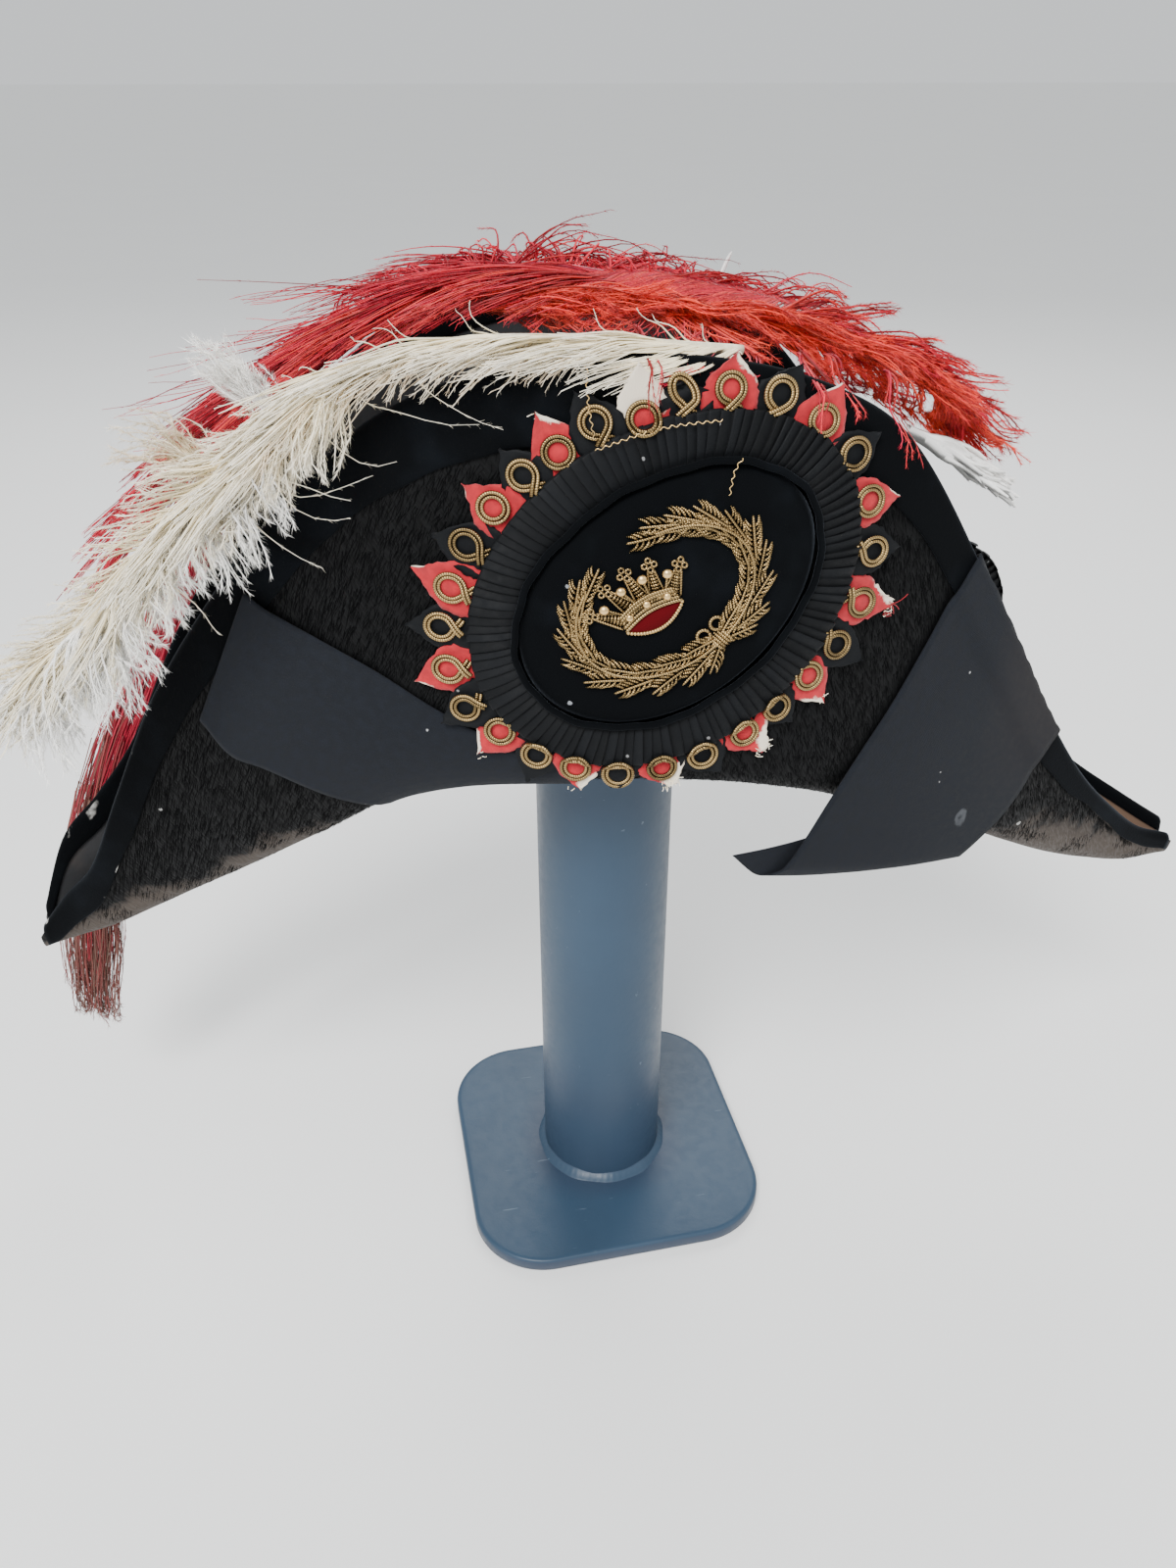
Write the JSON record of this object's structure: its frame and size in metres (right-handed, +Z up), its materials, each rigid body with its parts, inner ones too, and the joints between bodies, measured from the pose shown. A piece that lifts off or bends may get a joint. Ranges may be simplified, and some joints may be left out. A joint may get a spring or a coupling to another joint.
{
  "type": "bicorne hat on stand",
  "caption": "Black plush bicorne hat with red and cream plumes and a gold-embroidered rosette, resting on a grey steel tube stand.",
  "frame": {"origin": "centre of the base plate's underside, on the axis of the stand's post", "axes": "+Z up along the post, +X along the hat from its left tip to its right tip as somebody facing the rosette sees it, -Y towards that person"},
  "size_m": [0.4693, 0.175, 0.3743],
  "materials": {
    "stand_paint": "satin blue-grey paint, a little scuffed",
    "plush": "brushed black silk plush, worn brown along the lower fold",
    "velvet": "deep black cotton velvet",
    "grosgrain": "matt charcoal ribbed ribbon",
    "black_cloth": "matt black cloth",
    "red_cloth": "matt red cloth with frayed cream edges",
    "gold_bullion": "tarnished gilt wire thread",
    "red_feather": "dyed red ostrich feather",
    "cream_feather": "aged white ostrich feather"
  },
  "bodies": {
    "root": {"display_stand": "stand_paint", "brim": "plush", "crown": "plush", "binding_front": "velvet", "binding_back": "velvet", "ribbon_left": "grosgrain", "ribbon_right": "grosgrain", "rosette_pleats": "black_cloth", "rosette_piping": "velvet", "rosette_pad": "velvet", "petal_red_01": "red_cloth", "petal_red_02": "red_cloth", "petal_red_03": "red_cloth", "petal_red_04": "red_cloth", "petal_red_05": "red_cloth", "petal_red_06": "red_cloth", "petal_red_07": "red_cloth", "petal_red_08": "red_cloth", "petal_red_09": "red_cloth", "petal_red_10": "red_cloth", "petal_red_11": "red_cloth", "petal_red_12": "red_cloth", "petal_red_13": "red_cloth", "petal_red_14": "red_cloth", "petal_black_01": "black_cloth", "petal_black_02": "black_cloth", "petal_black_03": "black_cloth", "petal_black_04": "black_cloth", "petal_black_05": "black_cloth", "petal_black_06": "black_cloth", "petal_black_07": "black_cloth", "petal_black_08": "black_cloth", "petal_black_09": "black_cloth", "petal_black_10": "black_cloth", "petal_black_11": "black_cloth", "petal_black_12": "black_cloth", "petal_black_13": "black_cloth", "petal_black_14": "black_cloth", "wreath": "gold_bullion", "coronet": "gold_bullion", "back_cockade": "black_cloth", "plume_red": "red_feather", "plume_red_fall": "red_feather", "plume_cream": "cream_feather", "plume_white_tip": "cream_feather"}
  },
  "joints": []
}
